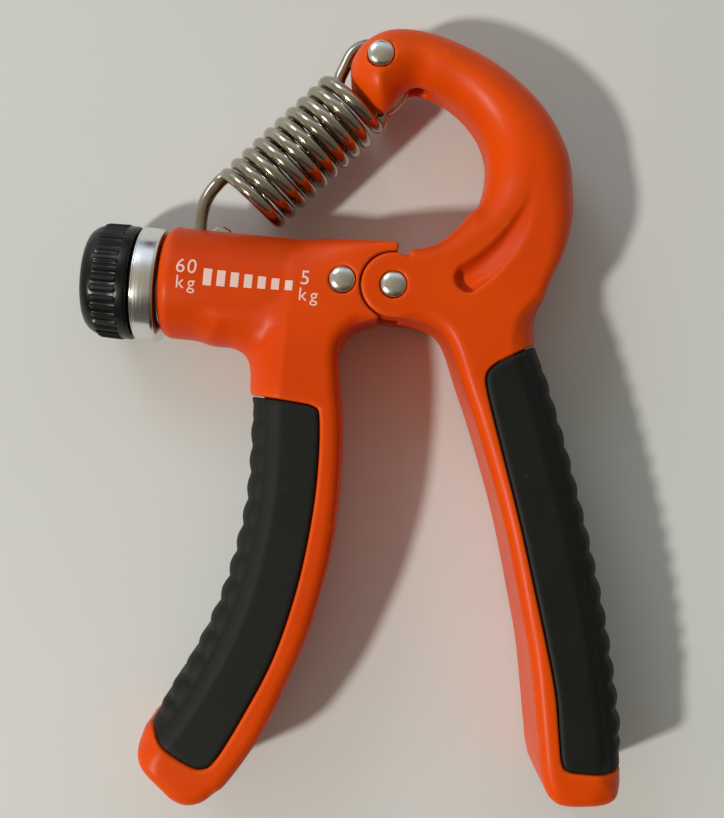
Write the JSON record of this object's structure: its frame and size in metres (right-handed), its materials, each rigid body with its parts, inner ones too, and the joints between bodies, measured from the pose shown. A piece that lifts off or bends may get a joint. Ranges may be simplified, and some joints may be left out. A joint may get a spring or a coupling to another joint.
{
  "type": "hand grip strengthener",
  "caption": "Adjustable hand exerciser: two rubber-padded handles on a hinge, a C-shaped arm and a coil spring whose anchor a knob moves along a barrel.",
  "frame": {"origin": "hinge pivot axis at the plane the tool lies on, which is the flat back end of the pivot pin and the back faces of both handles", "axes": "+X along the barrel from the knob to the pivot, +Y from the barrel towards the C-shaped arm, +Z out of the front face"},
  "size_m": [0.1175, 0.1583, 0.0249],
  "materials": {
    "orange_plastic": "satin moulded",
    "rubber": "matte moulded",
    "black_plastic": "semi-gloss",
    "spring_steel": "bright nickel plate",
    "rivet_steel": "polished",
    "aluminium": "satin turned",
    "zinc_steel": "zinc plated",
    "nylon": "natural"
  },
  "bodies": {
    "fixed_handle": {"left_handle": "orange_plastic", "left_grip_pad": "rubber", "hinge_link": "zinc_steel", "link_rivet": "rivet_steel", "pivot_rivet": "rivet_steel", "pivot_washer_front": "nylon", "pivot_washer_back": "nylon", "collar_ring": "aluminium", "screw_tip_bush": "nylon"},
    "moving_handle": {"right_handle": "orange_plastic", "right_grip_pad": "rubber", "anchor_rivet": "rivet_steel"},
    "adjuster": {"knob": "black_plastic", "knob_end_cap": "black_plastic", "knob_screw": "zinc_steel", "adjusting_screw": "zinc_steel", "retaining_clip": "zinc_steel", "thrust_washer": "nylon"},
    "carriage": {"spring_carriage": "zinc_steel", "hook_pin": "rivet_steel"},
    "spring_lower": {"spring_lower_hook": "spring_steel"},
    "spring_middle": {"spring_coil": "spring_steel"},
    "spring_upper": {"spring_top_hook": "spring_steel"}
  },
  "joints": [
    {"name": "grip_squeeze", "type": "hinge", "parent": "fixed_handle", "child": "moving_handle", "pos_m": [0, 0, 0.012], "axis": [0, 0, 1], "range_deg": [-28, 0]},
    {"name": "knob_turn", "type": "hinge", "parent": "fixed_handle", "child": "adjuster", "pos_m": [-0.058, -0.0035, 0.012], "axis": [-1, 0, 0], "range_deg": [0, 3816]},
    {"name": "carriage_slide", "type": "slide", "parent": "fixed_handle", "child": "carriage", "axis": [1, 0, 0], "range_m": [0, 0.0159]},
    {"name": "spring_swing", "type": "hinge", "parent": "carriage", "child": "spring_lower", "pos_m": [-0.0371, 0.0062, 0.012], "axis": [0, 0, 1], "range_deg": [-19.04, 0]},
    {"name": "spring_aim", "type": "hinge", "parent": "spring_lower", "child": "spring_middle", "pos_m": [-0.01353, -0.00544, 0.012], "axis": [0, 0, 1], "range_deg": [0, 15.53], "deforming": ["spring_lower_hook"]},
    {"name": "spring_stretch", "type": "slide", "parent": "spring_middle", "child": "spring_upper", "axis": [0.6125, 0.7904, 0], "range_m": [0, 0.01563], "deforming": ["spring_coil"]}
  ],
  "couplings": [
    {"joint": "knob_turn", "follows": "carriage_slide", "rad_per_m": 4188.6},
    {"joint": "spring_aim", "follows": "carriage_slide", "rad_per_m": 17.042},
    {"joint": "spring_swing", "follows": "grip_squeeze", "ratio": 0.67996},
    {"joint": "spring_stretch", "follows": "grip_squeeze", "m_per_rad": -0.031975}
  ]
}
